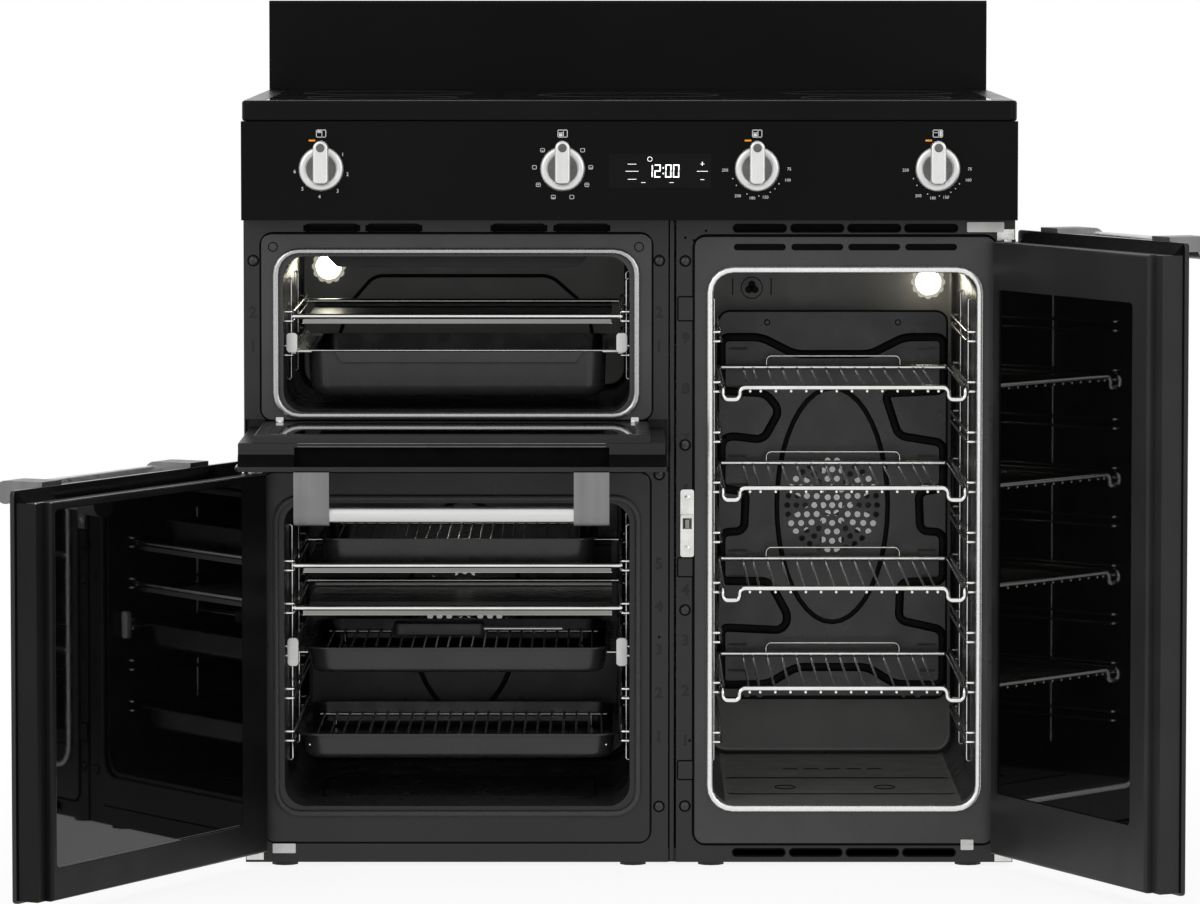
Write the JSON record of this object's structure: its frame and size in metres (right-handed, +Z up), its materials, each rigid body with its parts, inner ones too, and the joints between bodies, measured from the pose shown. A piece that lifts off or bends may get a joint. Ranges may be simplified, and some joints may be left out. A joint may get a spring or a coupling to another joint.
{
  "type": "range cooker",
  "caption": "Free-standing black range cooker with a drop-down grill oven, a main oven and a tall fan oven, wire shelves, pans, knobs and an induction hob.",
  "frame": {"origin": "on the floor, on the cooker's middle plane, in line with its front row of feet", "axes": "+X to the cooker's right as seen from the front, +Y from the front towards the wall, +Z up"},
  "size_m": [1.3602, 1.0562, 1.004],
  "materials": {
    "enamel": "black vitreous enamel, semi-gloss",
    "grey_enamel": "dark grey speckled enamel of the oven linings",
    "case_paint": "black stove paint",
    "facia_black": "gloss black",
    "galvanised": "zinc-coated sheet",
    "hob_glass": "black glass ceramic",
    "door_face": "gloss black coated face",
    "door_box": "dark grey enamel",
    "door_glass": "tinted inner glass",
    "handle_metal": "satin brushed bar and brackets",
    "knob_metal": "satin metal",
    "chrome_wire": "bright wire",
    "steel_sheet": "bright rolled steel",
    "pan_enamel": "black enamel",
    "rail_steel": "bright runner steel with light caps",
    "seal": "silver-grey woven seal",
    "lamp_glass": "clear lamp lens",
    "element_metal": "oxidised element tube",
    "plastic_black": "moulded",
    "display": "dark display window",
    "hardware": "plated"
  },
  "bodies": {
    "cooker": {"feet": "plastic_black", "chassis_base": "galvanised", "side_panels": "case_paint", "rear_cover": "galvanised", "terminal_block": "plastic_black", "left_front_frame": "enamel", "right_front_frame": "enamel", "frame_screws": "hardware", "hinge_brackets": "hardware", "catch_plate": "hardware", "grill_cavity": "grey_enamel", "main_cavity": "grey_enamel", "tall_cavity": "grey_enamel", "door_seals": "seal", "rear_baffles": "grey_enamel", "fan_motors": "galvanised", "heating_elements": "element_metal", "oven_lamps": "lamp_glass", "side_ladders": "chrome_wire", "runner_tracks": "rail_steel", "hob_frame": "enamel", "hob_glass": "hob_glass", "induction_coils": "plastic_black", "splashback": "case_paint", "facia_panel": "facia_black", "display_window": "display", "rotary_switches": "plastic_black"},
    "grill_door": {"grill_door_panel": "door_face", "grill_door_frame": "door_box", "grill_door_glass": "door_glass", "grill_door_handle": "handle_metal"},
    "main_door": {"main_door_panel": "door_face", "main_door_frame": "door_box", "main_door_glass": "door_glass", "main_door_handle": "handle_metal"},
    "tall_door": {"tall_door_panel": "door_face", "tall_door_frame": "door_box", "tall_door_glass": "door_glass", "tall_door_handle": "handle_metal"},
    "knob_1_body": {"knob_1": "knob_metal"},
    "tall_shelf_1_body": {"tall_shelf_1": "chrome_wire"},
    "knob_2_body": {"knob_2": "knob_metal"},
    "tall_shelf_2_body": {"tall_shelf_2": "chrome_wire"},
    "knob_3_body": {"knob_3": "knob_metal"},
    "tall_shelf_3_body": {"tall_shelf_3": "chrome_wire"},
    "knob_4_body": {"knob_4": "knob_metal"},
    "tall_shelf_4_body": {"tall_shelf_4": "chrome_wire"},
    "grill_tray_body": {"grill_tray": "steel_sheet"},
    "grill_pan_body": {"grill_pan": "pan_enamel", "grill_rails": "rail_steel"},
    "upper_tray_body": {"upper_tray": "steel_sheet", "small_pan": "pan_enamel"},
    "lower_tray_body": {"lower_tray": "steel_sheet"},
    "middle_pan_body": {"middle_pan": "pan_enamel", "pan_grip": "plastic_black", "main_rails": "rail_steel"},
    "lower_pan_body": {"lower_pan": "pan_enamel"},
    "tall_fan_body": {"tall_fan": "steel_sheet"},
    "main_fan_body": {"main_fan": "steel_sheet"},
    "catch_roller_body": {"catch_roller": "hardware"}
  },
  "joints": [
    {"name": "main_door_hinge", "type": "hinge", "parent": "cooker", "child": "main_door", "pos_m": [-0.439, -0.0505, 0.25], "axis": [0, 0, -1], "range_deg": [-117.7, 0]},
    {"name": "tall_door_hinge", "type": "hinge", "parent": "cooker", "child": "tall_door", "pos_m": [0.439, -0.0505, 0.38], "axis": [0, 0, 1], "range_deg": [-114.8, 0]},
    {"name": "grill_door_hinge", "type": "hinge", "parent": "cooker", "child": "grill_door", "pos_m": [-0.2005, -0.034, 0.5167], "axis": [1, 0, 0], "range_deg": [-90, 0]},
    {"name": "knob_1_turn", "type": "hinge", "parent": "cooker", "child": "knob_1_body", "pos_m": [-0.355, -0.0713, 0.8154], "axis": [0, 1, 0], "range_deg": [0, 267]},
    {"name": "knob_2_turn", "type": "hinge", "parent": "cooker", "child": "knob_2_body", "pos_m": [-0.077, -0.0713, 0.8154], "axis": [0, 1, 0], "range_deg": [0, 315]},
    {"name": "knob_3_turn", "type": "hinge", "parent": "cooker", "child": "knob_3_body", "pos_m": [0.147, -0.0713, 0.8154], "axis": [0, 1, 0], "range_deg": [0, 267]},
    {"name": "knob_4_turn", "type": "hinge", "parent": "cooker", "child": "knob_4_body", "pos_m": [0.355, -0.0713, 0.8154], "axis": [0, 1, 0], "range_deg": [0, 267]},
    {"name": "tall_shelf_1_slide", "type": "slide", "parent": "cooker", "child": "tall_shelf_1_body", "axis": [0, -1, 0], "range_m": [0, 0.3]},
    {"name": "tall_shelf_2_slide", "type": "slide", "parent": "cooker", "child": "tall_shelf_2_body", "axis": [0, -1, 0], "range_m": [0, 0.3]},
    {"name": "tall_shelf_3_slide", "type": "slide", "parent": "cooker", "child": "tall_shelf_3_body", "axis": [0, -1, 0], "range_m": [0, 0.3]},
    {"name": "tall_shelf_4_slide", "type": "slide", "parent": "cooker", "child": "tall_shelf_4_body", "axis": [0, -1, 0], "range_m": [0, 0.3]},
    {"name": "grill_tray_slide", "type": "slide", "parent": "cooker", "child": "grill_tray_body", "axis": [0, -1, 0], "range_m": [0, 0.25]},
    {"name": "grill_pan_slide", "type": "slide", "parent": "cooker", "child": "grill_pan_body", "axis": [0, -1, 0], "range_m": [0, 0.25]},
    {"name": "upper_tray_slide", "type": "slide", "parent": "cooker", "child": "upper_tray_body", "axis": [0, -1, 0], "range_m": [0, 0.25]},
    {"name": "lower_tray_slide", "type": "slide", "parent": "cooker", "child": "lower_tray_body", "axis": [0, -1, 0], "range_m": [0, 0.25]},
    {"name": "middle_pan_slide", "type": "slide", "parent": "cooker", "child": "middle_pan_body", "axis": [0, -1, 0], "range_m": [0, 0.25]},
    {"name": "lower_pan_slide", "type": "slide", "parent": "cooker", "child": "lower_pan_body", "axis": [0, -1, 0], "range_m": [0, 0.25]},
    {"name": "tall_fan_spin", "type": "hinge", "parent": "cooker", "child": "tall_fan_body", "pos_m": [0.2504, 0.44, 0.3876], "axis": [0, 1, 0], "continuous": true},
    {"name": "main_fan_spin", "type": "hinge", "parent": "cooker", "child": "main_fan_body", "pos_m": [-0.2005, 0.44, 0.262], "axis": [0, 1, 0], "continuous": true},
    {"name": "catch_roller_press", "type": "slide", "parent": "cooker", "child": "catch_roller_body", "axis": [0, 1, 0], "range_m": [0, 0.003], "stiffness_N_per_m": 2000}
  ],
  "couplings": [
    {"joint": "grill_door_hinge", "follows": "main_door_hinge", "ratio": 0.76466}
  ]
}
